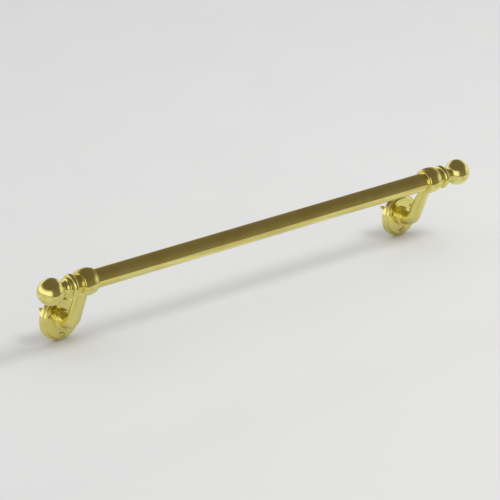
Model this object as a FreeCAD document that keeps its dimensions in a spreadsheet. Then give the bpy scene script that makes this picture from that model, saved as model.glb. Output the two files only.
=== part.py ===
import FreeCAD, Part
import math
import os
import Sketcher

# Sash lift handle: a straight brass tube carried on two cranked arms, each on a round rose.
# Frame: the origin is midway between the roses on the sash face, which is the plane y = 0.
# +X runs along the tube, +Z is up and the sash is on the +Y side. All sizes are in millimetres.

DRIVING = [
    ("overall_length", 406),
    ("rose_spacing", 327),
    ("bar_projection", 34.5),
    ("bar_rise", 38.5),
    ("bar_diameter", 14),
    ("bar_wall", 1.5),
    ("bar_overhang", 4),
    ("bar_edge", 0.5),
    ("ball_diameter", 20),
    ("neck_diameter", 9),
    ("flange_diameter", 14),
    ("flange_width", 2.2),
    ("flange_edge", 0.7),
    ("neck_hollow", 3),
    ("collar_diameter", 18),
    ("collar_width", 4),
    ("collar_bead", 1.8),
    ("plug_length", 14),
    ("plug_edge", 0.6),
    ("stud_diameter", 5),
    ("stud_in_plug", 12),
    ("stud_in_ball", 8),
    ("stud_edge", 0.7),
    ("stud_hole_point", 1.4),
    ("eye_diameter", 20),
    ("eye_width", 13),
    ("eye_lip_diameter", 17.6),
    ("eye_lip_width", 1.5),
    ("eye_crown", 0.7),
    ("eye_edge", 0.5),
    ("eye_lip_step", 0.3),
    ("grub_diameter", 4),
    ("grub_recess", 0.4),
    ("grub_dimple", 0.4),
    ("grub_edge", 0.3),
    ("grub_socket", 2),
    ("grub_socket_depth", 1.4),
    ("dog_diameter", 3),
    ("foot_diameter", 15),
    ("foot_height", 3.2),
    ("foot_edge", 0.9),
    ("arm_root_diameter", 11),
    ("arm_top_diameter", 8),
    ("arm_straight", 1.2),
    ("arm_bend_radius", 12),
    ("foot_fillet", 1),
    ("eye_fillet", 0.7),
    ("rose_diameter", 34),
    ("rose_thickness", 4.5),
    ("rose_step_width", 1.4),
    ("rose_step_height", 1.6),
    ("rose_edge", 0.8),
    ("rose_hollow_width", 0.9),
    ("rose_hollow_radius", 1.2),
    ("rose_bead_width", 0.4),
    ("rose_bead_height", 0.2),
    ("rose_bead_radius", 0.9),
    ("arm_screw_diameter", 5),
    ("arm_screw_head", 9.6),
    ("arm_screw_length", 10),
    ("arm_screw_hole", 12),
    ("arm_screw_recess", 0.1),
    ("arm_screw_slot_depth", 1.2),
    ("arm_screw_edge", 0.6),
    ("pin_diameter", 2.5),
    ("pin_offset", 5),
    ("pin_depth", 2.2),
    ("pin_edge", 0.3),
    ("wood_screw_circle", 22),
    ("wood_screw_head", 5.8),
    ("wood_screw_neck", 3.3),
    ("wood_screw_shank", 2.9),
    ("wood_screw_root", 2.6),
    ("wood_screw_length", 16),
    ("wood_screw_plain", 4.5),
    ("wood_screw_point", 4),
    ("screw_head_rim", 0.3),
    ("screw_slot", 1),
    ("screw_slot_depth", 0.9),
    ("clearance", 0.15),
]

doc = FreeCAD.newDocument("SashLiftHandle")
sheet = doc.addObject("Spreadsheet::Sheet", "Dims")
for row, (alias, value) in enumerate(DRIVING, start=1):
    sheet.set("A%d" % row, alias)
    sheet.set("B%d" % row, str(value))
    sheet.setAlias("B%d" % row, alias)
doc.recompute()


class Size:
    """A length together with the spreadsheet expression that gives it."""

    def __init__(self, value, text):
        self.value = float(value)
        self.text = text

    def _with(self, other, sign, swap=False):
        other = size(other)
        left, right = (other, self) if swap else (self, other)
        value = {
            "+": lambda a, b: a + b,
            "-": lambda a, b: a - b,
            "*": lambda a, b: a * b,
            "/": lambda a, b: a / b,
        }[sign](left.value, right.value)
        return Size(value, "(%s %s %s)" % (left.text, sign, right.text))

    def __add__(self, other):
        return self._with(other, "+")

    def __radd__(self, other):
        return self._with(other, "+", swap=True)

    def __sub__(self, other):
        return self._with(other, "-")

    def __rsub__(self, other):
        return self._with(other, "-", swap=True)

    def __mul__(self, other):
        return self._with(other, "*")

    def __rmul__(self, other):
        return self._with(other, "*", swap=True)

    def __truediv__(self, other):
        return self._with(other, "/")

    def __neg__(self):
        return 0 - self


def size(number):
    if isinstance(number, Size):
        return number
    return Size(number, "(%g)" % number)


def root(number):
    return Size(math.sqrt(number.value), "sqrt(%s)" % number.text)


def dim(alias):
    return Size(sheet.get(alias), "Dims." + alias)


# Sizes that follow from the driving ones.
bar_radius = dim("bar_diameter") / 2
bore_radius = bar_radius - dim("bar_wall")
eye_radius = dim("eye_diameter") / 2
half_spacing = dim("rose_spacing") / 2
bar_half_length = half_spacing + dim("eye_width") / 2 + dim("bar_overhang")
finial_start = bar_half_length + dim("collar_width")
finial_length = dim("overall_length") / 2 - finial_start
ball_radius = dim("ball_diameter") / 2
stud_radius = dim("stud_diameter") / 2
stud_start = bar_half_length - dim("stud_in_plug")
rose_radius = dim("rose_diameter") / 2
rose_face = -dim("rose_thickness")
foot_top = rose_face - dim("foot_height")
arm_screw_radius = dim("arm_screw_diameter") / 2
pin_radius = dim("pin_diameter") / 2
screw_circle_radius = dim("wood_screw_circle") / 2
wood_neck_radius = dim("wood_screw_neck") / 2
wood_head_radius = dim("wood_screw_head") / 2
wood_rim = rose_face + dim("screw_head_rim")
wood_cone_end = wood_rim + wood_head_radius - wood_neck_radius
slot_half = dim("screw_slot") / 2
clearance = dim("clearance")

# The least volume that a real cut takes away, in cubic millimetres.
LEAST_CUT = 0.01

# How far a cutting outline runs past the surface that it cuts.
PAST = 1

# How far past the rose's face the neck of the arm starts, inside the foot, in millimetres.
OVERLAP = 0.5

# How near to a plane or a length an edge has to be to count as lying in it or having it, in millimetres.
CLOSE = 0.01


# ---------------------------------------------------------------- sketch and feature helpers
def origin_feature(body, role):
    return [item for item in body.Origin.OriginFeatures if item.Role == role][0]


def new_body(label, at=(0, 0, 0), turn=0):
    """A body whose frame stands at the given place, turned about Z by a whole number of degrees."""
    body = doc.addObject("PartDesign::Body", label)
    body.Label = label
    body.Placement = FreeCAD.Placement(
        FreeCAD.Vector(*[size(place).value for place in at]),
        FreeCAD.Rotation(FreeCAD.Vector(0, 0, 1), turn),
    )
    for axis, place in zip("xyz", at):
        body.setExpression("Placement.Base." + axis, size(place).text)
    return body


def new_sketch(body, name, plane, shift=(0, 0, 0)):
    """A sketch on one of the body's origin planes, shifted along the plane's own axes."""
    sketch = body.newObject("Sketcher::SketchObject", name)
    sketch.AttachmentSupport = [(origin_feature(body, plane), "")]
    sketch.MapMode = "FlatFace"
    for axis, offset in zip("xyz", shift):
        sketch.setExpression("AttachmentOffset.Base." + axis, size(offset).text)
    doc.recompute()
    return sketch


def bind(sketch, kind, target, length):
    """Adds one dimension to a sketch and ties it to its expression."""
    index = sketch.addConstraint(Sketcher.Constraint(kind, *target, length.value))
    sketch.setExpression("Constraints[%d]" % index, length.text)


def arc_between(start, end, radius, bulge):
    """The minor arc of a radius from start to end; bulge +1 puts it left of the way, -1 right."""
    chord = end - start
    middle = (start + end) * 0.5
    left = FreeCAD.Vector(-chord.y, chord.x, 0).normalize()
    reach = math.sqrt(max(radius ** 2 - chord.Length ** 2 / 4, 0))
    centre = middle - left * (reach * bulge)
    crest = centre + left * (radius * bulge)
    return Part.Arc(start, crest, end)


def close_outline(sketch, steps):
    """Draws a closed outline. A step is (x, y) for a line or (x, y, radius, bulge) for an arc."""
    corners = [FreeCAD.Vector(size(step[0]).value, size(step[1]).value, 0) for step in steps]
    starts = []
    ends = []
    for number, step in enumerate(steps):
        start, end = corners[number - 1], corners[number]
        if len(step) == 2:
            index = sketch.addGeometry(Part.LineSegment(start, end), False)
            backwards = False
        else:
            radius, bulge = size(step[2]), step[3]
            index = sketch.addGeometry(arc_between(start, end, radius.value, bulge), False)
            bind(sketch, "Radius", (index,), radius)
            # Sketch arcs run anticlockwise, so an arc that bulges left is stored end first.
            backwards = bulge > 0
        starts.append((index, 2 if backwards else 1))
        ends.append((index, 1 if backwards else 2))
    for step, end, next_start in zip(steps, ends, starts[1:] + starts[:1]):
        sketch.addConstraint(Sketcher.Constraint("Coincident", *end, *next_start))
        bind(sketch, "DistanceX", (-1, 1, *end), size(step[0]))
        bind(sketch, "DistanceY", (-1, 1, *end), size(step[1]))


def turned(body, name, outline, axis, shift=(0, 0, 0), cut=False):
    """Revolves an outline about the sketch's H or V axis, to add metal or, with cut, to take it."""
    before = body.Shape.Volume if cut else 0
    sketch = new_sketch(body, name + "_outline", "XY_Plane", shift)
    close_outline(sketch, outline)
    feature = body.newObject("PartDesign::Groove" if cut else "PartDesign::Revolution", name)
    feature.Profile = sketch
    feature.ReferenceAxis = (sketch, [axis])
    feature.Angle = 360
    doc.recompute()
    if cut and body.Shape.Volume > before - LEAST_CUT:
        raise RuntimeError(name + " cuts nothing")
    return feature


def circles(sketch, places, radius):
    for x, y in places:
        centre = FreeCAD.Vector(size(x).value, size(y).value, 0)
        index = sketch.addGeometry(Part.Circle(centre, FreeCAD.Vector(0, 0, 1), radius.value), False)
        bind(sketch, "Radius", (index,), radius)
        bind(sketch, "DistanceX", (-1, 1, index, 3), size(x))
        bind(sketch, "DistanceY", (-1, 1, index, 3), size(y))


def pocket(body, name, sketch, depth=None, reverse=False):
    """Cuts a sketch into the body by a depth, or right through on both sides when none is given."""
    before = body.Shape.Volume
    feature = body.newObject("PartDesign::Pocket", name)
    feature.Profile = sketch
    if depth is None:
        feature.Type = "ThroughAll"
        feature.SideType = "Symmetric"
    else:
        feature.Reversed = reverse
        feature.setExpression("Length", size(depth).text)
    doc.recompute()
    if body.Shape.Volume > before - LEAST_CUT:
        raise RuntimeError(name + " cuts nothing")
    return feature


def drilled(body, name, face, place, radius, depth, reverse=True):
    """Drills a flat-bottomed hole along Y from the plane y = -face, towards the room if reversed."""
    sketch = new_sketch(body, name + "_circle", "XZ_Plane", (0, 0, face))
    circles(sketch, [place], radius)
    return pocket(body, name, sketch, depth, reverse)


def screw_slot(body, face, centre, half_length, depth, reverse=False):
    """Cuts a screwdriver slot along X into the flat head whose face is at the given depth."""
    sketch = new_sketch(body, "slot_outline", "XZ_Plane", (0, 0, face))
    close_outline(sketch, [
        (half_length, centre - slot_half),
        (half_length, centre + slot_half),
        (-half_length, centre + slot_half),
        (-half_length, centre - slot_half),
    ])
    return pocket(body, "slot", sketch, depth, reverse)


def rounded_edges(body, name, wanted, alias):
    """Fillets the edges of the body's present shape whose bounding boxes pass the test."""
    edges = [
        "Edge%d" % number
        for number, edge in enumerate(body.Shape.Edges, start=1)
        if wanted(edge.BoundBox)
    ]
    if not edges:
        raise RuntimeError(name + " finds no edge")
    base = body.Tip
    feature = body.newObject("PartDesign::Fillet", name)
    feature.Base = (base, edges)
    feature.setExpression("Radius", dim(alias).text)
    doc.recompute()
    return feature


def polar(body, name, features, axis, count):
    pattern = body.newObject("PartDesign::PolarPattern", name)
    pattern.Originals = features
    pattern.Axis = (origin_feature(body, axis), [""])
    pattern.Angle = 360
    pattern.Occurrences = count
    body.Tip = pattern
    doc.recompute()
    return pattern


# ---------------------------------------------------------------- the sub-parts
def make_rail():
    """The tube, with a shallow drilled dimple at the back for each grub screw."""
    body = new_body("rail", at=(0, -dim("bar_projection"), dim("bar_rise")))
    edge = dim("bar_edge")
    turned(body, "tube", [
        (-bar_half_length, bore_radius),
        (-bar_half_length, bar_radius - edge),
        (-bar_half_length + edge, bar_radius),
        (bar_half_length - edge, bar_radius),
        (bar_half_length, bar_radius - edge),
        (bar_half_length, bore_radius),
    ], "H_Axis")
    seats = new_sketch(body, "dimple_circles", "XZ_Plane", (0, 0, -bar_radius))
    circles(seats, [(-half_spacing, 0), (half_spacing, 0)], dim("dog_diameter") / 2)
    pocket(body, "dimples", seats, dim("grub_dimple"), reverse=True)
    return body


def make_rose(side, sign):
    """The round plate against the sash: three countersunk screw holes and one for the arm."""
    body = new_body("rose_" + side, at=(half_spacing * sign, 0, 0))
    shoulder = rose_face + dim("rose_step_height")
    shoulder_radius = rose_radius - dim("rose_step_width")
    bead_radius = shoulder_radius - dim("rose_hollow_width")
    edge = dim("rose_edge")
    hole_radius = arm_screw_radius + clearance
    head_radius = dim("arm_screw_head") / 2
    turned(body, "plate", [
        (hole_radius, rose_face),
        (hole_radius, hole_radius - head_radius),
        (head_radius, 0),
        (rose_radius, 0),
        (rose_radius, shoulder + edge),
        (rose_radius - edge, shoulder, edge, 1),
        (shoulder_radius, shoulder),
        (bead_radius, rose_face + dim("rose_bead_height"), dim("rose_hollow_radius"), -1),
        (bead_radius - dim("rose_bead_width"), rose_face, dim("rose_bead_radius"), 1),
    ], "V_Axis")
    hole = turned(body, "screw_hole", [
        (0, PAST),
        (0, rose_face - PAST),
        (wood_head_radius, rose_face - PAST),
        (wood_head_radius, wood_rim),
        (wood_neck_radius, wood_cone_end),
        (wood_neck_radius, PAST),
    ], "V_Axis", shift=(0, 0, -screw_circle_radius), cut=True)
    polar(body, "screw_holes", [hole], "Y_Axis", 3)
    pin_place = (0, -dim("pin_offset"))
    drilled(body, "pin_hole", -rose_face, pin_place, pin_radius, dim("pin_depth"), reverse=False)
    return body


def make_wood_screws(side, sign):
    """Three slotted countersunk wood screws, one in each hole of the rose."""
    body = new_body("wood_screws_" + side, at=(half_spacing * sign, 0, 0))
    shank = dim("wood_screw_shank") / 2
    tip = rose_face + dim("wood_screw_length")
    tip_radius = clearance
    screw = turned(body, "screw", [
        (0, rose_face),
        (wood_head_radius - clearance, rose_face),
        (wood_head_radius, wood_rim),
        (wood_neck_radius, wood_cone_end),
        (wood_neck_radius, 0),
        (shank, 0),
        (shank, dim("wood_screw_plain")),
        (dim("wood_screw_root") / 2, tip - dim("wood_screw_point")),
        (tip_radius, tip),
        (0, tip),
    ], "V_Axis", shift=(0, 0, -screw_circle_radius))
    past_head = wood_head_radius + PAST
    slot = screw_slot(body, -rose_face, -screw_circle_radius, past_head, dim("screw_slot_depth"))
    polar(body, "screws", [screw, slot], "Y_Axis", 3)
    return body


def add_neck(body):
    """Sweeps the neck along a level run, a bend and a straight run that ends on the tube's axis."""
    spine = new_sketch(body, "neck_line", "YZ_Plane")
    neck_start = rose_face - OVERLAP
    bend_start = foot_top - dim("arm_straight")
    reach, rise = -dim("bar_projection"), dim("bar_rise")
    bend = dim("arm_bend_radius").value
    across, up = bend_start.value - reach.value, rise.value - bend
    slope = math.atan2(up, across) + math.asin(bend / math.hypot(across, up))

    def on_bend(angle):
        height = bend * (1 - math.cos(angle))
        return FreeCAD.Vector(bend_start.value - bend * math.sin(angle), height, 0)

    low, middle, high = (on_bend(slope * share) for share in (0, 0.5, 1))
    spine.addGeometry(Part.LineSegment(FreeCAD.Vector(neck_start.value, 0, 0), low), False)
    spine.addGeometry(Part.Arc(low, middle, high), False)
    spine.addGeometry(Part.LineSegment(high, FreeCAD.Vector(reach.value, rise.value, 0)), False)
    spine.addConstraint(Sketcher.Constraint("Tangent", 0, 2, 1, 2))
    spine.addConstraint(Sketcher.Constraint("Tangent", 1, 1, 2, 1))
    bind(spine, "Radius", (1,), dim("arm_bend_radius"))
    for line, point, y, z in (
        (0, 1, neck_start, size(0)),
        (0, 2, bend_start, size(0)),
        (2, 2, reach, rise),
    ):
        bind(spine, "DistanceX", (-1, 1, line, point), y)
        bind(spine, "DistanceY", (-1, 1, line, point), z)
    doc.recompute()

    sections = []
    for name, edge, along in (("arm_root", "Edge1", 0), ("arm_top", "Edge3", 1)):
        section = body.newObject("Sketcher::SketchObject", name)
        section.AttachmentSupport = [(spine, edge)]
        section.MapMode = "NormalToEdge"
        section.MapPathParameter = along
        circles(section, [(0, 0)], dim(name + "_diameter") / 2)
        sections.append(section)
    doc.recompute()
    neck = body.newObject("PartDesign::AdditivePipe", "neck")
    neck.Profile = sections[0]
    neck.Spine = (spine, ["Edge1", "Edge2", "Edge3"])
    neck.Transformation = "Multisection"
    neck.Sections = [(sections[1], [""])]
    doc.recompute()


def add_eye(body):
    """Turns the eye about the tube's axis: a slightly barrelled ring between two narrow lips."""
    half_width = dim("eye_width") / 2
    half_barrel = half_width - dim("eye_lip_width")
    lip_radius = dim("eye_lip_diameter") / 2
    lip_step = dim("eye_lip_step")
    crown = dim("eye_crown")
    crown_radius = (half_barrel * half_barrel / crown + crown) / 2
    barrel_edge = eye_radius - crown
    edge = dim("eye_edge")
    turned(body, "eye", [
        (-half_width, 0),
        (-half_width, lip_radius - edge),
        (-half_width + edge, lip_radius, edge, 1),
        (-half_barrel - lip_step, lip_radius),
        (-half_barrel, lip_radius + lip_step),
        (-half_barrel, barrel_edge),
        (half_barrel, barrel_edge, crown_radius, 1),
        (half_barrel, lip_radius + lip_step),
        (half_barrel + lip_step, lip_radius),
        (half_width - edge, lip_radius),
        (half_width, lip_radius - edge, edge, 1),
        (half_width, 0),
    ], "H_Axis", shift=(0, -dim("bar_projection"), dim("bar_rise")))


def blend_neck(body):
    """Rounds the corners where the neck leaves the foot and where it meets the eye."""
    rise = dim("bar_rise").value
    neck_top = dim("arm_top_diameter").value

    def at_foot(box):
        flat = box.YLength < CLOSE and abs(box.YMin - foot_top.value) < CLOSE
        return flat and box.XLength < dim("arm_root_diameter").value + PAST

    def at_eye(box):
        wide = box.XLength > neck_top - PAST
        below = box.ZMax < rise - neck_top / 2
        return wide and below and box.ZMin > rise - eye_radius.value - PAST

    rounded_edges(body, "foot_blend", at_foot, "foot_fillet")
    rounded_edges(body, "eye_blend", at_eye, "eye_fillet")


def make_arm(side, sign):
    """The cast arm: a turned foot, a cranked neck that tapers upwards, and an eye for the tube."""
    body = new_body("arm_" + side, at=(half_spacing * sign, 0, 0))
    foot_radius = dim("foot_diameter") / 2
    edge = dim("foot_edge")
    turned(body, "foot", [
        (0, rose_face),
        (foot_radius, rose_face),
        (foot_radius, foot_top + edge),
        (foot_radius - edge, foot_top, edge, 1),
        (0, foot_top),
    ], "V_Axis")

    add_neck(body)
    add_eye(body)
    blend_neck(body)
    bore = new_sketch(body, "bore_circle", "YZ_Plane")
    circles(bore, [(-dim("bar_projection"), dim("bar_rise"))], bar_radius)
    pocket(body, "bore", bore)
    drilled(body, "screw_hole", -rose_face, (0, 0), arm_screw_radius, dim("arm_screw_hole") + rose_face)
    drilled(body, "pin_hole", -rose_face, (0, -dim("pin_offset")), pin_radius, dim("pin_depth"))
    back = dim("bar_projection") - eye_radius
    wall = eye_radius - bar_radius
    drilled(body, "grub_hole", back, (0, dim("bar_rise")), dim("grub_diameter") / 2, wall + PAST)
    return body


def make_arm_screw(side, sign):
    """The countersunk machine screw that holds the arm to the rose, put in from behind."""
    body = new_body("arm_screw_" + side, at=(half_spacing * sign, 0, 0))
    head_radius = dim("arm_screw_head") / 2
    shank_end = -dim("arm_screw_length")
    recess = dim("arm_screw_recess")
    edge = dim("arm_screw_edge")
    turned(body, "screw", [
        (0, -recess),
        (head_radius - recess, -recess),
        (arm_screw_radius, arm_screw_radius - head_radius),
        (arm_screw_radius, shank_end + edge),
        (arm_screw_radius - edge, shank_end),
        (0, shank_end),
    ], "V_Axis")
    screw_slot(body, recess, 0, head_radius, dim("arm_screw_slot_depth"), reverse=True)
    return body


def make_arm_pin(side, sign):
    """The dowel that stops the arm from turning on its rose."""
    body = new_body("arm_pin_" + side, at=(half_spacing * sign, 0, 0))
    half = dim("pin_depth")
    edge = dim("pin_edge")
    turned(body, "pin", [
        (0, rose_face + half),
        (pin_radius - edge, rose_face + half),
        (pin_radius, rose_face + half - edge),
        (pin_radius, rose_face - half + edge),
        (pin_radius - edge, rose_face - half),
        (0, rose_face - half),
    ], "V_Axis", shift=(0, 0, -dim("pin_offset")))
    return body


def make_grub_screw(side, sign):
    """The socket grub screw behind the eye, whose dog point sits in the tube's dimple."""
    body = new_body(
        "grub_screw_" + side,
        at=(half_spacing * sign, -dim("bar_projection"), dim("bar_rise")),
    )
    radius = dim("grub_diameter") / 2
    dog = dim("dog_diameter") / 2
    outer = eye_radius - dim("grub_recess")
    edge = dim("grub_edge")
    turned(body, "screw", [
        (0, bar_radius - dim("grub_dimple")),
        (dog, bar_radius - dim("grub_dimple")),
        (dog, bar_radius),
        (radius, bar_radius),
        (radius, outer - edge),
        (radius - edge, outer),
        (0, outer),
    ], "V_Axis")
    corner = dim("grub_socket") / root(size(3))
    socket = new_sketch(body, "socket_outline", "XZ_Plane", (0, 0, -outer))
    close_outline(socket, [
        (corner * math.cos(angle), corner * math.sin(angle))
        for angle in [math.pi / 3 * number for number in range(6)]
    ])
    pocket(body, "socket", socket, dim("grub_socket_depth"), reverse=True)
    return body


def end_part(name, side, start):
    """A body on the tube's axis whose local +X points out of that end of the handle."""
    sign = 1 if side == "right" else -1
    return new_body(
        name + "_" + side,
        at=(start * sign, -dim("bar_projection"), dim("bar_rise")),
        turn=0 if side == "right" else 180,
    )


def make_end_plug(side):
    """The tapped brass plug that is soldered into the end of the tube."""
    body = end_part("end_plug", side, bar_half_length - dim("plug_length"))
    edge = dim("plug_edge")
    turned(body, "plug", [
        (0, stud_radius),
        (0, bore_radius - edge),
        (edge, bore_radius),
        (dim("plug_length"), bore_radius),
        (dim("plug_length"), stud_radius),
    ], "H_Axis")
    return body


def make_finial_stud(side):
    """The threaded stud that draws the ball finial and its collar onto the end of the tube."""
    body = end_part("finial_stud", side, stud_start)
    length = finial_start + dim("stud_in_ball") - stud_start
    edge = dim("stud_edge")
    turned(body, "stud", [
        (0, 0),
        (0, stud_radius - edge),
        (edge, stud_radius),
        (length - edge, stud_radius),
        (length, stud_radius - edge),
        (length, 0),
    ], "H_Axis")
    return body


def make_finial_collar(side):
    """The half-round trim ring between the tube and the ball finial."""
    body = end_part("finial_collar", side, bar_half_length)
    width = dim("collar_width")
    bead = dim("collar_bead")
    bead_radius = width * width / (8 * bead) + bead / 2
    edge_radius = dim("collar_diameter") / 2 - bead
    turned(body, "ring", [
        (0, stud_radius + clearance),
        (0, edge_radius),
        (width, edge_radius, bead_radius, 1),
        (width, stud_radius + clearance),
    ], "H_Axis")
    return body


def make_ball_finial(side):
    """The turned finial: a small flange, a hollowed neck and a ball, drilled for the stud."""
    body = end_part("ball_finial", side, finial_start)
    flange = dim("flange_diameter") / 2
    flange_width = dim("flange_width")
    neck = dim("neck_diameter") / 2
    ball_centre = finial_length - ball_radius
    neck_end = ball_centre - root(ball_radius * ball_radius - neck * neck)
    edge = dim("flange_edge")
    hole = dim("stud_in_ball") + PAST
    turned(body, "finial", [
        (0, stud_radius),
        (0, flange - edge),
        (edge, flange, edge, 1),
        (flange_width - edge, flange),
        (flange_width, flange - edge, edge, 1),
        (neck_end, neck, dim("neck_hollow"), -1),
        (ball_centre, ball_radius, ball_radius, 1),
        (finial_length, 0, ball_radius, 1),
        (hole + dim("stud_hole_point"), 0),
        (hole, stud_radius),
    ], "H_Axis")
    return body


def build():
    nodes = [make_rail()]
    for side, sign in (("left", -1), ("right", 1)):
        nodes += [
            make_rose(side, sign),
            make_wood_screws(side, sign),
            make_arm(side, sign),
            make_arm_screw(side, sign),
            make_arm_pin(side, sign),
            make_grub_screw(side, sign),
            make_end_plug(side),
            make_finial_stud(side),
            make_finial_collar(side),
            make_ball_finial(side),
        ]
    return nodes


def check(nodes):
    """Stops the build if any object failed or any sub-part has no sound solid."""
    doc.recompute()
    for item in doc.Objects:
        if "Invalid" in item.State or "Error" in item.State:
            raise RuntimeError("%s is %s" % (item.Name, item.State))
    for node in nodes:
        if node.Shape.isNull() or not node.Shape.isValid() or not node.Shape.Solids:
            raise RuntimeError(node.Label + " has no sound shape")


def export(nodes):
    os.makedirs("parts", exist_ok=True)
    for node in nodes:
        node.Shape.exportStep(os.path.join("parts", node.Label + ".step"))
        box = node.Shape.BoundBox
        print("%-20s %d solid(s) %9.2f mm3  x %.2f..%.2f  y %.2f..%.2f  z %.2f..%.2f" % (
            node.Label, len(node.Shape.Solids), node.Shape.Volume,
            box.XMin, box.XMax, box.YMin, box.YMax, box.ZMin, box.ZMax,
        ))


sub_parts = build()
check(sub_parts)
export(sub_parts)
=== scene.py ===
import bmesh
import bpy
import math
from mathutils import Matrix, Vector


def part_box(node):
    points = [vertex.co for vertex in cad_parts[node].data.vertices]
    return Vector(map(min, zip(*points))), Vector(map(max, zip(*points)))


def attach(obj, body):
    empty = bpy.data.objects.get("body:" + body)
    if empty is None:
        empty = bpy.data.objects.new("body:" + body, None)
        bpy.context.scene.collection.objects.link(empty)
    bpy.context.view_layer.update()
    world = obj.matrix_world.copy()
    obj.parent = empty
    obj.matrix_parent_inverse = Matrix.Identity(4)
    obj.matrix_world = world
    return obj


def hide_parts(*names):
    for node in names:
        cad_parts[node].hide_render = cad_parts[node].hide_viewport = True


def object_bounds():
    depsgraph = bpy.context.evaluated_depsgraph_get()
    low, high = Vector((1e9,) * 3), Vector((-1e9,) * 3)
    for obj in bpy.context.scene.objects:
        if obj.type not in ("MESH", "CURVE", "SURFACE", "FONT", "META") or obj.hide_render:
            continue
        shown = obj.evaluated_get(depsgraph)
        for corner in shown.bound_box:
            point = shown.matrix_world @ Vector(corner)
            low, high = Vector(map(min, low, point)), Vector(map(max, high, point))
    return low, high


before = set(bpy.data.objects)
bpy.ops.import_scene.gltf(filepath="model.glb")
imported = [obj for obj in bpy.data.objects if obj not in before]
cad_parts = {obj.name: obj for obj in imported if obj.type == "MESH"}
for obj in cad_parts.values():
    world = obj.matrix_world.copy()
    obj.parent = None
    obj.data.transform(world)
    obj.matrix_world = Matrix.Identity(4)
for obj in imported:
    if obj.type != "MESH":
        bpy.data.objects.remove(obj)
cad_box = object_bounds()

# A polished brass sash lift: a tube on two cranked arms, each on a round rose, with ball ends.
# +X runs along the tube, +Y into the sash and +Z up. The pieces are built in millimetres and are
# scaled to the frame's metres when they are done. An outline's points are along and out from the
# axis that it is turned about. The camera, the lights, the stage and the patterns are in metres.

MM = 0.001
FULL_TURN = 2 * math.pi
SIDES = (("left", -1), ("right", 1))


# ---------------------------------------------------------------- sizes read from the frame
def middle(node):
    """The middle of a node's box, in millimetres."""
    low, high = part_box(node)
    return (low + high) / 2 / MM


def extent(node):
    """A node's size along X, Y and Z, in millimetres."""
    low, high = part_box(node)
    return (high - low) / MM


BAR_CENTRE = middle("rail")
BAR_HALF_LENGTH = extent("rail").x / 2
BAR_RADIUS = extent("rail").y / 2
PLUG_RADIUS = extent("end_plug_left").y / 2
STUD_RADIUS = extent("finial_stud_left").y / 2
COLLAR_WIDTH = extent("finial_collar_left").x
COLLAR_RADIUS = extent("finial_collar_left").y / 2
FINIAL_LENGTH = extent("ball_finial_left").x
BALL_RADIUS = extent("ball_finial_left").y / 2
ROSE_RADIUS = extent("rose_left").z / 2
ROSE_THICKNESS = extent("rose_left").y
SCREW_LENGTH = extent("wood_screws_left").y
PIN_RADIUS = extent("arm_pin_left").x / 2
PIN_DEPTH = extent("arm_pin_left").y / 2
ROSE_PLACE = {side: Vector((middle("rose_" + side).x, 0, 0)) for side, _ in SIDES}


# ---------------------------------------------------------------- camera
VIEW_AZIMUTH = math.radians(-38.8)
VIEW_ELEVATION = math.radians(21.9)
VIEW_DISTANCE = 2.006
LENS_MM = 193

box_low, box_high = cad_box
target = (box_low + box_high) / 2


def aim(piece, towards_viewer):
    """Turns a camera or lamp so that its back faces along a direction and its top is up."""
    piece.rotation_mode = "QUATERNION"
    piece.rotation_quaternion = towards_viewer.to_track_quat("Z", "Y")


def place_camera():
    """Puts the camera where the photograph was taken from, with a longer lens."""
    towards_camera = Vector((
        math.sin(VIEW_AZIMUTH) * math.cos(VIEW_ELEVATION),
        -math.cos(VIEW_AZIMUTH) * math.cos(VIEW_ELEVATION),
        math.sin(VIEW_ELEVATION),
    ))
    camera = bpy.data.objects.new("camera", bpy.data.cameras.new("camera"))
    camera.data.lens = LENS_MM
    camera.location = target + towards_camera * VIEW_DISTANCE
    aim(camera, towards_camera)
    bpy.context.scene.collection.objects.link(camera)
    bpy.context.scene.camera = camera
    bpy.context.scene.view_settings.view_transform = "Standard"


place_camera()

# ---------------------------------------------------------------- mesh helpers
TURNED_FACETS = 144                # round a turned piece
CUTTER_FACETS = 72
PIN_FACETS = 48
ARC_STEP = math.radians(7)
LONGEST_RUN = 12                   # between rings along a straight stretch
SHARP_CORNER = math.radians(32)
ON_AXIS = 1e-6
PAST = 1                           # how far a cutter reaches past the face that it opens
WELD = 0.001                       # points nearer than this become one


def arc_points(start, end, radius, bulge):
    """Points after start up to end on the minor arc; bulge +1 puts it left of the way, -1 right."""
    chord = end - start
    left = Vector((-chord.y, chord.x)).normalized()
    reach = math.sqrt(max(radius ** 2 - chord.length_squared / 4, 0))
    centre = (start + end) / 2 - left * reach * bulge
    first = math.atan2(start.y - centre.y, start.x - centre.x)
    last = math.atan2(end.y - centre.y, end.x - centre.x)
    turn = (last - first + math.pi) % FULL_TURN - math.pi
    steps = max(3, math.ceil(abs(turn) / ARC_STEP))
    angles = [first + turn * step / steps for step in range(1, steps)]
    return [centre + radius * Vector((math.cos(a), math.sin(a))) for a in angles] + [end]


def run_points(start, end):
    """Points after start up to end on a straight stretch."""
    steps = max(1, math.ceil((end - start).length / LONGEST_RUN))
    return [start.lerp(end, step / steps) for step in range(1, steps + 1)]


def traced(outline):
    """The points of a closed outline. A step is (along, out) or (along, out, radius, bulge)."""
    corners = [Vector(step[:2]) for step in outline]
    points = []
    for number, step in enumerate(outline):
        start, end = corners[number - 1], corners[number]
        points += run_points(start, end) if len(step) == 2 else arc_points(start, end, *step[2:])
    return points


def add_ring(shape, place, points):
    """Vertices spaced evenly round the local X axis, one for each (along, out)."""
    ring = []
    for facet, (along, out) in enumerate(points):
        angle = FULL_TURN * facet / len(points)
        point = Vector((along, out * math.cos(angle), out * math.sin(angle)))
        ring.append(shape.verts.new(place @ point))
    return ring


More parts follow.
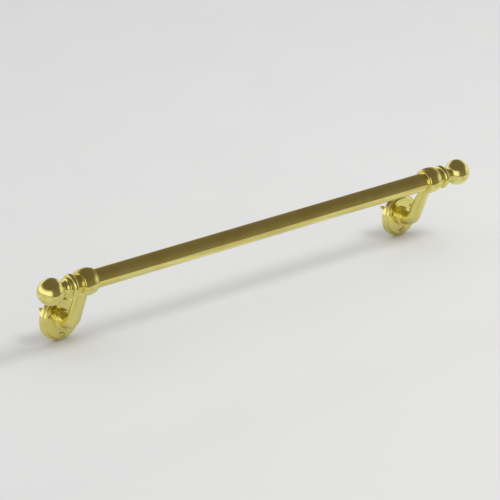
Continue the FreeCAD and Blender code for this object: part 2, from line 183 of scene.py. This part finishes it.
def join_rings(shape, first, second):
    """Faces between two rings, either of which may be a single point on the axis."""
    count = max(len(first), len(second))
    if count == 1:
        return
    for facet in range(count):
        follower = (facet + 1) % count
        if len(first) == 1:
            shape.faces.new((first[0], second[follower], second[facet]))
        elif len(second) == 1:
            shape.faces.new((first[facet], first[follower], second[0]))
        else:
            shape.faces.new((first[facet], first[follower], second[follower], second[facet]))


def smooth(mesh):
    """Shades a mesh as smooth, but for the edges where it turns a sharp corner."""
    mesh.polygons.foreach_set("use_smooth", [True] * len(mesh.polygons))
    mesh.set_sharp_from_angle(angle=SHARP_CORNER)
    mesh.update()


def solid(name, shape):
    """Ends the building of a shape and gives the object that it makes."""
    bmesh.ops.recalc_face_normals(shape, faces=shape.faces)
    mesh = bpy.data.meshes.new(name)
    shape.to_mesh(mesh)
    shape.free()
    smooth(mesh)
    piece = bpy.data.objects.new(name, mesh)
    bpy.context.scene.collection.objects.link(piece)
    return piece


def lathe(name, outline, place, facets=TURNED_FACETS):
    """Turns a closed outline about the local X axis and sets the solid in its place."""
    shape = bmesh.new()
    rings = [
        add_ring(shape, place, [(along, out)] * (1 if out < ON_AXIS else facets))
        for along, out in traced(outline)
    ]
    for number, ring in enumerate(rings):
        join_rings(shape, rings[number - 1], ring)
    return solid(name, shape)


def weld(shape):
    """Joins points that lie together and drops the faces that have no area."""
    bmesh.ops.remove_doubles(shape, verts=shape.verts, dist=WELD)
    bmesh.ops.dissolve_degenerate(shape, edges=shape.edges, dist=WELD)


def carve(piece, cutters):
    """Cuts each cutter out of the piece and takes the cutters away."""
    for cutter in cutters:
        modifier = piece.modifiers.new("cut", "BOOLEAN")
        modifier.operation = "DIFFERENCE"
        modifier.solver = "MANIFOLD"
        modifier.object = cutter
    bpy.context.view_layer.update()
    evaluated = piece.evaluated_get(bpy.context.evaluated_depsgraph_get())
    carved = bpy.data.meshes.new_from_object(evaluated)
    piece.modifiers.clear()
    shape = bmesh.new()
    shape.from_mesh(carved)
    weld(shape)
    shape.to_mesh(carved)
    shape.free()
    smooth(carved)
    piece.data = carved
    for cutter in cutters:
        bpy.data.objects.remove(cutter)


def stands_for(piece, node, material):
    """Scales a piece to metres and puts it in the place of a node and its metal."""
    piece.data.transform(Matrix.Scale(MM, 4))
    piece.data.materials.clear()
    piece.data.materials.append(material)
    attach(piece, "root")
    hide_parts(node)


def on_bar(sign, along):
    """A place on the tube's axis, so far from its middle, with local +X pointing outwards."""
    turn = 0 if sign > 0 else math.pi
    shift = Vector((sign * along, 0, 0))
    return Matrix.Translation(BAR_CENTRE + shift) @ Matrix.Rotation(turn, 4, "Z")


def on_rose(side, across, depth, up):
    """A place on a rose's face, or so deep behind it, with local +X pointing into the sash."""
    offset = Vector((across, depth - ROSE_THICKNESS, up))
    return Matrix.Translation(ROSE_PLACE[side] + offset) @ Matrix.Rotation(math.pi / 2, 4, "Z")


# ---------------------------------------------------------------- material helpers
class Nodes:
    """A node tree with short calls that add nodes and return a socket."""

    def __init__(self, tree):
        self.tree = tree

    def add(self, kind, inputs=(), output=0, **settings):
        node = self.tree.nodes.new(kind)
        for name, value in settings.items():
            setattr(node, name, value)
        for name, value in dict(inputs).items():
            if isinstance(value, bpy.types.NodeSocket):
                self.tree.links.new(value, node.inputs[name])
            else:
                node.inputs[name].default_value = value
        return node.outputs[output]

    def axes(self, vector):
        """The X, Y and Z of a vector, as sockets."""
        split = self.tree.nodes.new("ShaderNodeSeparateXYZ")
        self.tree.links.new(vector, split.inputs[0])
        return split.outputs

    def maths(self, operation, first, second=0.0):
        return self.add("ShaderNodeMath", {0: first, 1: second}, operation=operation)

    def between(self, value, low, high, to_low=0.0, to_high=1.0):
        """The stretch of a value from low to high, eased and spread over another range."""
        return self.add(
            "ShaderNodeMapRange",
            {0: value, 1: low, 2: high, 3: to_low, 4: to_high},
            interpolation_type="SMOOTHSTEP",
        )

    def mix(self, share, first, second):
        inputs = {0: share, 6: first, 7: second}
        return self.add("ShaderNodeMix", inputs, output=2, data_type="RGBA")


class Shader(Nodes):
    """A material on one Principled shader."""

    def __init__(self, name, roughness, metallic):
        self.material = bpy.data.materials.new(name)
        self.material.use_nodes = True
        super().__init__(self.material.node_tree)
        self.principled = self.tree.nodes["Principled BSDF"]
        self.principled.inputs["Roughness"].default_value = roughness
        self.principled.inputs["Metallic"].default_value = metallic

    def link(self, socket, name):
        self.tree.links.new(socket, self.principled.inputs[name])

    def place(self):
        return self.add("ShaderNodeTexCoord", output="Object")

    def stretched(self, vector, factors):
        inputs = {0: vector, 1: factors}
        return self.add("ShaderNodeVectorMath", inputs, operation="MULTIPLY")

    def noise(self, vector, scale=1.0, detail=3.0, roughness=0.55):
        inputs = {"Vector": vector, "Scale": scale, "Detail": detail, "Roughness": roughness}
        return self.add("ShaderNodeTexNoise", inputs, output="Fac")

    def bump(self, height, strength, depth, under=None):
        inputs = {"Height": height, "Strength": strength, "Distance": depth}
        if under is not None:
            inputs["Normal"] = under
        return self.add("ShaderNodeBump", inputs)


def colour(red, green, blue):
    return (red, green, blue, 1.0)


def grey(value):
    return colour(value, value, value)


# ---------------------------------------------------------------- the metals
# A clean tone, the tone of its cloudy patches, and the dark tone of grime and painted shade in its
# corners.
BRASS = (colour(0.87, 0.79, 0.26), colour(0.84, 0.72, 0.22), colour(0.42, 0.33, 0.10))
SCREW_BRASS = (colour(0.80, 0.68, 0.26), colour(0.84, 0.72, 0.22), colour(0.42, 0.33, 0.10))
ZINC = (colour(0.62, 0.63, 0.65), colour(0.36, 0.37, 0.40), colour(0.36, 0.37, 0.40))

# How many times each pattern repeats in a metre, along X, Y and Z where it is stretched.
CLOUDS = 45.0
SMUDGES = 170.0
RIPPLES = 220.0
CAST_GRAIN = 1500.0
ROSE_RINGS = 7000.0
TUBE_LINES = (60.0, 5200.0, 5200.0)
TURNING_LINES = (6500.0, 160.0, 160.0)
LONG_RIPPLES = (22.0, 500.0, 1000.0)

# Each set of scratches: its slant in radians and how often its worn patches come in a metre.
SCRATCH_SETS = ((0.09, 80.0), (-0.22, 130.0))

# The edges of the patches that each pattern makes: the pattern's values where they start and end.
CLOUD_EDGE = (0.42, 0.68)
SMUDGE_EDGE = (0.35, 0.7)
LINE_EDGE = (0.45, 0.8)
WORN_EDGE = (0.52, 0.64)
GRIME_AND_SHADE_PATCH_EDGE = (0.3, 0.6)
RIPPLE_LEVEL = 0.5                 # the value of the long ripples that a hairline follows
HAIRLINE_WIDTH = 0.005             # in the ripples' values

# Grime and painted shade gather where another surface is near. They start at one openness and are
# full at the other.
GRIME_AND_SHADE_REACH = 0.002
GRIME_AND_SHADE_OPENNESS = (0.55, 0.15)
GRIME_AND_SHADE_COVER = 0.75
THINNEST_GRIME_AND_SHADE = 0.6

# What each kind of wear adds to the roughness. Smudges run from a cleaner to a rougher place.
SMUDGE_ROUGHNESS = (-0.02, 0.08)
LINE_ROUGHNESS = 0.08
SCRATCH_ROUGHNESS = 0.14
GRIME_ROUGHNESS = 0.3

RIPPLE_STRENGTH = 0.3
LINE_STRENGTH = 0.4
SCRATCH_STRENGTH = 0.3
RIPPLE_DEPTH = 0.00002
SCRATCH_DEPTH = 0.00001
FINE_LINE_DEPTH = 0.000004
CAST_LINE_DEPTH = 0.000003
ROUGH_LINE_DEPTH = 0.000006


def grain_along_tube(shader):
    """Polishing lines that run the length of the tube."""
    return shader.noise(shader.stretched(shader.place(), TUBE_LINES), detail=4.0)


def grain_round_tube(shader):
    """Fine turning lines that go round the tube's axis."""
    return shader.noise(shader.stretched(shader.place(), TURNING_LINES), detail=4.0)


def grain_of_casting(shader):
    """A fine even grain that runs no particular way."""
    return shader.noise(shader.place(), CAST_GRAIN, detail=4.0)


def grain_round_rose(shader):
    """Fine lines that circle the middle of whichever rose is nearer."""
    axes = shader.axes(shader.place())
    across = shader.maths(
        "SUBTRACT", shader.maths("ABSOLUTE", axes["X"]), abs(ROSE_PLACE["left"].x) * MM
    )
    across_squared = shader.maths("MULTIPLY", across, across)
    up_squared = shader.maths("MULTIPLY", axes["Z"], axes["Z"])
    out = shader.maths("SQRT", shader.maths("ADD", across_squared, up_squared))
    rings = shader.add("ShaderNodeCombineXYZ", {0: shader.maths("MULTIPLY", out, ROSE_RINGS)})
    return shader.noise(rings, detail=4.0)


def scratches(shader):
    """Two sets of sparse hairlines, at two slants."""
    first, second = (hairlines(shader, slant, patches) for slant, patches in SCRATCH_SETS)
    return shader.maths("MAXIMUM", first, second)


def hairlines(shader, slant, patches):
    """The level lines of long thin ripples, where the surface is worn."""
    slanted = shader.add(
        "ShaderNodeVectorRotate", {"Vector": shader.place(), "Angle": slant},
        rotation_type="Y_AXIS",
    )
    ripples = shader.noise(shader.stretched(slanted, LONG_RIPPLES), detail=0.0)
    off_level = shader.maths("ABSOLUTE", shader.maths("SUBTRACT", ripples, RIPPLE_LEVEL))
    line = shader.between(off_level, 0.0, HAIRLINE_WIDTH, 1.0, 0.0)
    worn = shader.between(shader.noise(shader.place(), patches, detail=1.0), *WORN_EDGE)
    return shader.maths("MULTIPLY", line, worn)


def grime_and_painted_shade_in_corners(shader):
    """Grime and painted shade where another surface stands close by."""
    openness = shader.add(
        "ShaderNodeAmbientOcclusion", {"Distance": GRIME_AND_SHADE_REACH}, output="AO", samples=8
    )
    return shader.between(openness, *GRIME_AND_SHADE_OPENNESS, 0.0, GRIME_AND_SHADE_COVER)


def add_tone(shader, tones, grime_and_shade):
    """The metal's colour, with cloudy patches and uneven grime and painted shade."""
    clean, cloudy, grime_and_shade_tone = tones
    clouds = shader.noise(shader.place(), CLOUDS, detail=2.0)
    uneven = shader.between(clouds, *GRIME_AND_SHADE_PATCH_EDGE, THINNEST_GRIME_AND_SHADE, 1.0)
    tone = shader.mix(shader.between(clouds, *CLOUD_EDGE), clean, cloudy)
    # Painted shade: the colour darkens towards the grime tone where another surface is near.
    shader.link(shader.mix(shader.maths("MULTIPLY", grime_and_shade, uneven), tone, grime_and_shade_tone), "Base Color")


def add_finish(shader, roughness, lines, cuts, grime_and_shade):
    """The metal's roughness, which smudges, lines, scratches and grime all raise."""
    smudges = shader.noise(shader.place(), SMUDGES, detail=4.0, roughness=0.6)
    cleanest, dirtiest = SMUDGE_ROUGHNESS
    finish = shader.between(smudges, *SMUDGE_EDGE, roughness + cleanest, roughness + dirtiest)
    for share in (
        shader.between(lines, *LINE_EDGE, 0.0, LINE_ROUGHNESS),
        shader.maths("MULTIPLY", cuts, SCRATCH_ROUGHNESS),
        shader.maths("MULTIPLY", grime_and_shade, GRIME_ROUGHNESS),
    ):
        finish = shader.maths("ADD", finish, share)
    shader.link(finish, "Roughness")


def add_relief(shader, lines, cuts, line_depth):
    """The slight unevenness of a surface that was polished by hand, its lines and scratches."""
    ripples = shader.noise(shader.place(), RIPPLES, detail=1.0)
    rippled = shader.bump(ripples, RIPPLE_STRENGTH, RIPPLE_DEPTH)
    lined = shader.bump(lines, LINE_STRENGTH, line_depth, under=rippled)
    uncut = shader.maths("SUBTRACT", 1.0, cuts)
    shader.link(shader.bump(uncut, SCRATCH_STRENGTH, SCRATCH_DEPTH, under=lined), "Normal")


def metal(name, tones, roughness, grain, line_depth):
    """Worn polished metal in a set of tones, with one of the grains."""
    shader = Shader(name, roughness, 1.0)
    lines = grain(shader)
    cuts = scratches(shader)
    grime_and_shade = grime_and_painted_shade_in_corners(shader)
    add_tone(shader, tones, grime_and_shade)
    add_finish(shader, roughness, lines, cuts, grime_and_shade)
    add_relief(shader, lines, cuts, line_depth)
    return shader.material


tube_brass = metal("tube_brass", BRASS, 0.10, grain_along_tube, FINE_LINE_DEPTH)
turned_brass = metal("turned_brass", BRASS, 0.10, grain_round_tube, FINE_LINE_DEPTH)
rose_brass = metal("rose_brass", BRASS, 0.11, grain_round_rose, FINE_LINE_DEPTH)
cast_brass = metal("cast_brass", BRASS, 0.11, grain_of_casting, CAST_LINE_DEPTH)
screw_brass = metal("screw_brass", SCREW_BRASS, 0.2, grain_of_casting, ROUGH_LINE_DEPTH)
zinc_steel = metal("zinc_steel", ZINC, 0.28, grain_of_casting, ROUGH_LINE_DEPTH)


# ---------------------------------------------------------------- the tube and its ends
def make_tube():
    """The tube that the hand holds, with the corners of its ends taken off."""
    edge = 0.5
    end = BAR_HALF_LENGTH
    tube = lathe("brass_tube", [
        (-end, PLUG_RADIUS),
        (-end, BAR_RADIUS - edge),
        (-end + edge, BAR_RADIUS, edge, 1),
        (end - edge, BAR_RADIUS),
        (end, BAR_RADIUS - edge, edge, 1),
        (end, PLUG_RADIUS),
    ], on_bar(1, 0))
    stands_for(tube, "rail", tube_brass)


def make_trim_ring(side, sign):
    """The ring between the tube and the ball end, with a rounded bead for its rim."""
    bead = 1.8
    clearance = 0.15
    bead_radius = COLLAR_WIDTH ** 2 / (8 * bead) + bead / 2
    ring = lathe("trim_ring_" + side, [
        (0, STUD_RADIUS + clearance),
        (0, COLLAR_RADIUS - bead),
        (COLLAR_WIDTH, COLLAR_RADIUS - bead, bead_radius, 1),
        (COLLAR_WIDTH, STUD_RADIUS + clearance),
    ], on_bar(sign, BAR_HALF_LENGTH))
    stands_for(ring, "finial_collar_" + side, turned_brass)


def make_ball_end(side, sign):
    """A ball on a hollowed neck and a flange, drilled from the flange for its stud."""
    flange_radius = 7
    flange_width = 2.2
    edge = 0.7
    neck_radius = 4.5
    hollow = 3
    hole = 9
    hole_point = 1.4
    ball_centre = FINIAL_LENGTH - BALL_RADIUS
    neck_end = ball_centre - math.sqrt(BALL_RADIUS ** 2 - neck_radius ** 2)
    ball = lathe("ball_end_" + side, [
        (0, STUD_RADIUS),
        (0, flange_radius - edge),
        (edge, flange_radius, edge, 1),
        (flange_width - edge, flange_radius),
        (flange_width, flange_radius - edge, edge, 1),
        (neck_end, neck_radius, hollow, -1),
        (ball_centre, BALL_RADIUS, BALL_RADIUS, 1),
        (FINIAL_LENGTH, 0, BALL_RADIUS, 1),
        (hole + hole_point, 0),
        (hole, STUD_RADIUS),
    ], on_bar(sign, BAR_HALF_LENGTH + COLLAR_WIDTH))
    stands_for(ball, "ball_finial_" + side, turned_brass)


# ---------------------------------------------------------------- the roses
SCREW_CIRCLE = 11
SCREW_ANGLES = (270, 30, 150)
SCREW_HEAD = 2.9
SCREW_NECK = 1.65
SCREW_RIM = 0.3
SCREW_CONE_END = SCREW_RIM + SCREW_HEAD - SCREW_NECK
SCREW_GAP = 0.12                   # between a screw and the sides of its hole


def on_screw(side, angle, depth=0):
    """A screw's place on the rose, with local +X into the sash."""
    turn = math.radians(angle)
    return on_rose(side, SCREW_CIRCLE * math.cos(turn), depth, SCREW_CIRCLE * math.sin(turn))


def make_countersink(side, angle):
    """A hole right through the rose, wider at its face for the screw's head."""
    return lathe("countersink", [
        (-PAST, 0),
        (-PAST, SCREW_HEAD + SCREW_GAP),
        (SCREW_RIM, SCREW_HEAD + SCREW_GAP),
        (SCREW_CONE_END, SCREW_NECK + SCREW_GAP),
        (ROSE_THICKNESS + PAST, SCREW_NECK + SCREW_GAP),
        (ROSE_THICKNESS + PAST, 0),
    ], on_screw(side, angle), CUTTER_FACETS)


def make_pin_hole(side):
    """The blind hole below the arm's foot, for the dowel that keeps the arm upright."""
    below = 5
    return lathe("pin_hole", [
        (-PAST, 0),
        (-PAST, PIN_RADIUS),
        (PIN_DEPTH, PIN_RADIUS),
        (PIN_DEPTH, 0),
    ], on_rose(side, 0, 0, -below), PIN_FACETS)


def make_rose(side):
    """A round plate with a rounded rim, a hollow and a bead up to its flat face."""
    step = 1.4
    step_height = 1.6
    edge = 0.8
    hollow_width, hollow_radius = 0.9, 1.2
    bead_width, bead_height, bead_radius = 0.4, 0.2, 0.9
    flat = 0.2
    arm_screw_hole = 2.65
    arm_screw_head = 4.8
    face = -ROSE_THICKNESS
    shoulder = face + step_height
    rim = ROSE_RADIUS - step
    bead = rim - hollow_width
    rose = lathe("rose_plate_" + side, [
        (face, arm_screw_hole),
        (arm_screw_hole - arm_screw_head, arm_screw_hole),
        (0, arm_screw_head),
        (0, ROSE_RADIUS),
        (shoulder + edge, ROSE_RADIUS),
        (shoulder, ROSE_RADIUS - edge, edge, -1),
        (shoulder, rim),
        (face + bead_height, bead, hollow_radius, 1),
        (face, bead - bead_width, bead_radius, -1),
        (face, bead - bead_width - flat),
    ], on_rose(side, 0, ROSE_THICKNESS, 0))
    carve(rose, [make_countersink(side, angle) for angle in SCREW_ANGLES] + [make_pin_hole(side)])
    stands_for(rose, "rose_" + side, rose_brass)


# ---------------------------------------------------------------- the wood screws
SCREW_FACETS = 56
SCREW_SUNK = 0.05                  # how far the head lies below the rose's face
SCREW_TIP = SCREW_LENGTH - SCREW_SUNK
THREAD_PITCH = 1.41
THREAD_START = 8.8
THREAD_CREST = 1.45
THREAD_CORE = 1.02
POINT_START = 12.2
POINT_FULLNESS = 1.3
NECK_TAPER = 0.2
SLOT_WIDTH = 1.0
SLOT_DEPTH = 0.9
SLOT_TURNS = {"left": (12, 74, -38), "right": (-21, 55, 96)}

# The rounding of the head's rim, as (below the face, in from the rim).
HEAD_EDGE = ((0, 0.22), (0.05, 0.06), (0.14, 0))

# The thread's shape over one pitch, as (share of the pitch, share of the height).
THREAD_PROFILE = ((0.0, 0), (0.34, 0), (0.48, 1), (0.54, 1), (0.68, 0))


def thread_point(along, height):
    """A point on the thread, which grows out of the shank and narrows to the screw's tip."""
    along = min(SCREW_TIP, max(THREAD_START, along))
    grown = min(1, (along - THREAD_START) / THREAD_PITCH)
    into_point = max(0, (along - POINT_START) / (SCREW_TIP - POINT_START))
    core = THREAD_CREST + (THREAD_CORE - THREAD_CREST) * grown
    return along, (core + (THREAD_CREST - core) * height) * (1 - into_point ** POINT_FULLNESS)


def add_head(shape):
    """The head's face, its countersunk side, the neck in the rose and the plain shank."""
    outline = [(below, SCREW_HEAD - inside) for below, inside in HEAD_EDGE] + [
        (SCREW_RIM, SCREW_HEAD),
        (SCREW_CONE_END, SCREW_NECK),
        (ROSE_THICKNESS, SCREW_NECK),
        (ROSE_THICKNESS + NECK_TAPER, THREAD_CREST),
        (THREAD_START, THREAD_CREST),
    ]
    rings = [add_ring(shape, Matrix(), [(0, 0)])]
    rings += [add_ring(shape, Matrix(), [point] * SCREW_FACETS) for point in outline]
    for first, second in zip(rings, rings[1:]):
        join_rings(shape, first, second)


def add_thread(shape):
    """Rows of faces that climb one pitch in each turn, cut off flat at the thread's start.

    After a whole turn each row runs on into the row that starts one pitch further along.
    """
    rows = []
    for turn in range(math.ceil((SCREW_TIP - THREAD_START) / THREAD_PITCH) + 1):
        for share, height in THREAD_PROFILE:
            first = THREAD_START + (turn - 1 + share) * THREAD_PITCH
            rows.append(add_ring(shape, Matrix(), [
                thread_point(first + THREAD_PITCH * facet / SCREW_FACETS, height)
                for facet in range(SCREW_FACETS)
            ]))
    for row in range(len(rows) - 1):
        for facet in range(SCREW_FACETS):
            follower, level = facet + 1, row
            if follower == SCREW_FACETS:
                follower, level = 0, row + len(THREAD_PROFILE)
            if level + 1 < len(rows):
                shape.faces.new((
                    rows[row][facet], rows[row + 1][facet],
                    rows[level + 1][follower], rows[level][follower],
                ))


def make_slot_cutter():
    """A bar across the screw's face, as wide as the slot."""
    length = 8.0
    shape = bmesh.new()
    bmesh.ops.create_cube(shape, size=1)
    bmesh.ops.scale(shape, vec=(2 * SLOT_DEPTH, length, SLOT_WIDTH), verts=shape.verts)
    return solid("slot_cutter", shape)


def make_wood_screw():
    """One slotted countersunk screw, with its face at the origin and local +X into the wood."""
    shape = bmesh.new()
    add_head(shape)
    add_thread(shape)
    weld(shape)
    screw = solid("one_screw", shape)
    carve(screw, [make_slot_cutter()])
    return screw


def make_screws(side):
    """Three copies of the screw in one piece, each stopped with its slot at its own angle."""
    one = make_wood_screw()
    shape = bmesh.new()
    for angle, turn in zip(SCREW_ANGLES, SLOT_TURNS[side]):
        copy = one.data.copy()
        place = on_screw(side, angle, SCREW_SUNK)
        copy.transform(place @ Matrix.Rotation(math.radians(turn), 4, "X"))
        shape.from_mesh(copy)
        bpy.data.meshes.remove(copy)
    bpy.data.objects.remove(one)
    screws = solid("screw_set_" + side, shape)
    stands_for(screws, "wood_screws_" + side, screw_brass)


make_tube()
for side, sign in SIDES:
    make_trim_ring(side, sign)
    make_ball_end(side, sign)
    make_rose(side)
    make_screws(side)

# ---------------------------------------------------------------- pieces kept from the frame
KEPT_METALS = {
    "arm_": cast_brass,
    "arm_screw_": zinc_steel,
    "arm_pin_": zinc_steel,
    "grub_screw_": zinc_steel,
    "finial_stud_": zinc_steel,
    "end_plug_": screw_brass,
}


def dress_kept_nodes():
    """Gives each node that keeps its own mesh its metal."""
    for stem, material in KEPT_METALS.items():
        for side, _ in SIDES:
            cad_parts[stem + side].material_slots[0].material = material


dress_kept_nodes()

# ---------------------------------------------------------------- stage
FLOOR_REACH = 20.0
FLOOR_GAP = 0.0001                 # below the lowest point of the roses
FLOOR_LEVEL = box_low.z - FLOOR_GAP
FLOOR_COLOUR = colour(0.74, 0.74, 0.735)
CARD_LEVEL = FLOOR_LEVEL + FLOOR_GAP / 2
CARD_ACROSS = (-1.2, 1.6)
CARD_FRONT = -0.21
CARD_PALE_FROM = -0.12
CARD_BACK = 1.2
CARD_BLOTCHES = 14.0               # a metre
CARD_BLOTCH_EDGE = (0.35, 0.65)
CARD_TONES = (grey(0.56), grey(0.74))
CARD_FRONT_TONE = grey(0.10)


def flat_sheet(name, across, away, level, material):
    """A level sheet of the stage, between two values of X and two of Y."""
    mesh = bpy.data.meshes.new(name)
    corners = [(across[x], away[y], level) for x, y in ((0, 0), (1, 0), (1, 1), (0, 1))]
    mesh.from_pydata(corners, [], [(0, 1, 2, 3)])
    mesh.materials.append(material)
    sheet = bpy.data.objects.new(name, mesh)
    bpy.context.scene.collection.objects.link(sheet)
    return sheet


def lay_floor():
    """The pale floor that is seen and that casts soft light up; the metal doesn't mirror it."""
    shader = Shader("pale_floor", 0.7, 0.0)
    shader.principled.inputs["Base Color"].default_value = FLOOR_COLOUR
    reach = (-FLOOR_REACH, FLOOR_REACH)
    floor = flat_sheet("floor", reach, reach, FLOOR_LEVEL, shader.material)
    floor.visible_glossy = False


def lay_bounce_card():
    """The pale card that the metal mirrors in place of the floor.

    It fades out a hand's width in front of the handle, so the tube mirrors a pale edge below and
    the dark room above.
    """
    shader = Shader("bounce_card", 0.9, 0.0)
    pale = shader.between(shader.axes(shader.place())["Y"], CARD_FRONT, CARD_PALE_FROM)
    blotches = shader.noise(shader.place(), CARD_BLOTCHES, detail=1.0)
    uneven = shader.mix(shader.between(blotches, *CARD_BLOTCH_EDGE), *CARD_TONES)
    shader.link(shader.mix(pale, CARD_FRONT_TONE, uneven), "Base Color")
    away = (CARD_FRONT, CARD_BACK)
    card = flat_sheet("bounce_card", CARD_ACROSS, away, CARD_LEVEL, shader.material)
    card.visible_camera = False
    card.visible_diffuse = False
    card.visible_shadow = False


# ---------------------------------------------------------------- light
ROOM = grey(0.80)
MIRRORED_DARK = (colour(0.235, 0.198, 0.168), colour(0.16, 0.131, 0.11))   # below, overhead
MIRRORED_PALE = grey(0.86)
MIRRORED_BRIGHT = grey(1.15)

# Where each part of the mirrored room starts and is full, along X, Y or Z of the way that the
# reflection looks, which has a length of 1.
OVERHEAD_EDGE = (-0.2, 0.85)
BEHIND_EDGE = (0.79, 0.92)
RIGHT_EDGE = (0.68, 0.86)
LEFT_EDGE = (-0.15, -0.6)
LOW_EDGE = (0.65, 0.25)


def light_the_world():
    """A pale room for the eye and for soft light.

    The metal mirrors a darker one, which is pale behind the sash and low on the right, and
    brightest low on the left.
    """
    world = bpy.data.worlds.new("studio")
    bpy.context.scene.world = world
    world.use_nodes = True
    nodes = Nodes(world.node_tree)
    way = nodes.axes(nodes.add("ShaderNodeTexCoord", output="Generated"))
    low = nodes.between(way["Z"], *LOW_EDGE)
    behind = nodes.between(way["Y"], *BEHIND_EDGE)
    right = nodes.maths("MULTIPLY", low, nodes.between(way["X"], *RIGHT_EDGE))
    left = nodes.maths("MULTIPLY", low, nodes.between(way["X"], *LEFT_EDGE))
    dark = nodes.mix(nodes.between(way["Z"], *OVERHEAD_EDGE), *MIRRORED_DARK)
    mirrored = nodes.mix(nodes.maths("MAXIMUM", behind, right), dark, MIRRORED_PALE)
    mirrored = nodes.mix(left, mirrored, MIRRORED_BRIGHT)
    glossy = nodes.add("ShaderNodeLightPath", output="Is Glossy Ray")
    room = nodes.mix(glossy, ROOM, mirrored)
    nodes.tree.links.new(room, nodes.tree.nodes["Background"].inputs["Color"])


def add_soft_light(name, place, size, power):
    """A round soft lamp that shines on the object and that the metal doesn't mirror."""
    lamp = bpy.data.lights.new(name, "AREA")
    lamp.shape = "DISK"
    lamp.size = size
    lamp.energy = power
    piece = bpy.data.objects.new(name, lamp)
    piece.location = place
    aim(piece, Vector(place) - target)
    piece.visible_glossy = False
    bpy.context.scene.collection.objects.link(piece)


lay_floor()
lay_bounce_card()
light_the_world()
add_soft_light("key", (0.7, -1.0, 1.7), size=0.7, power=14)
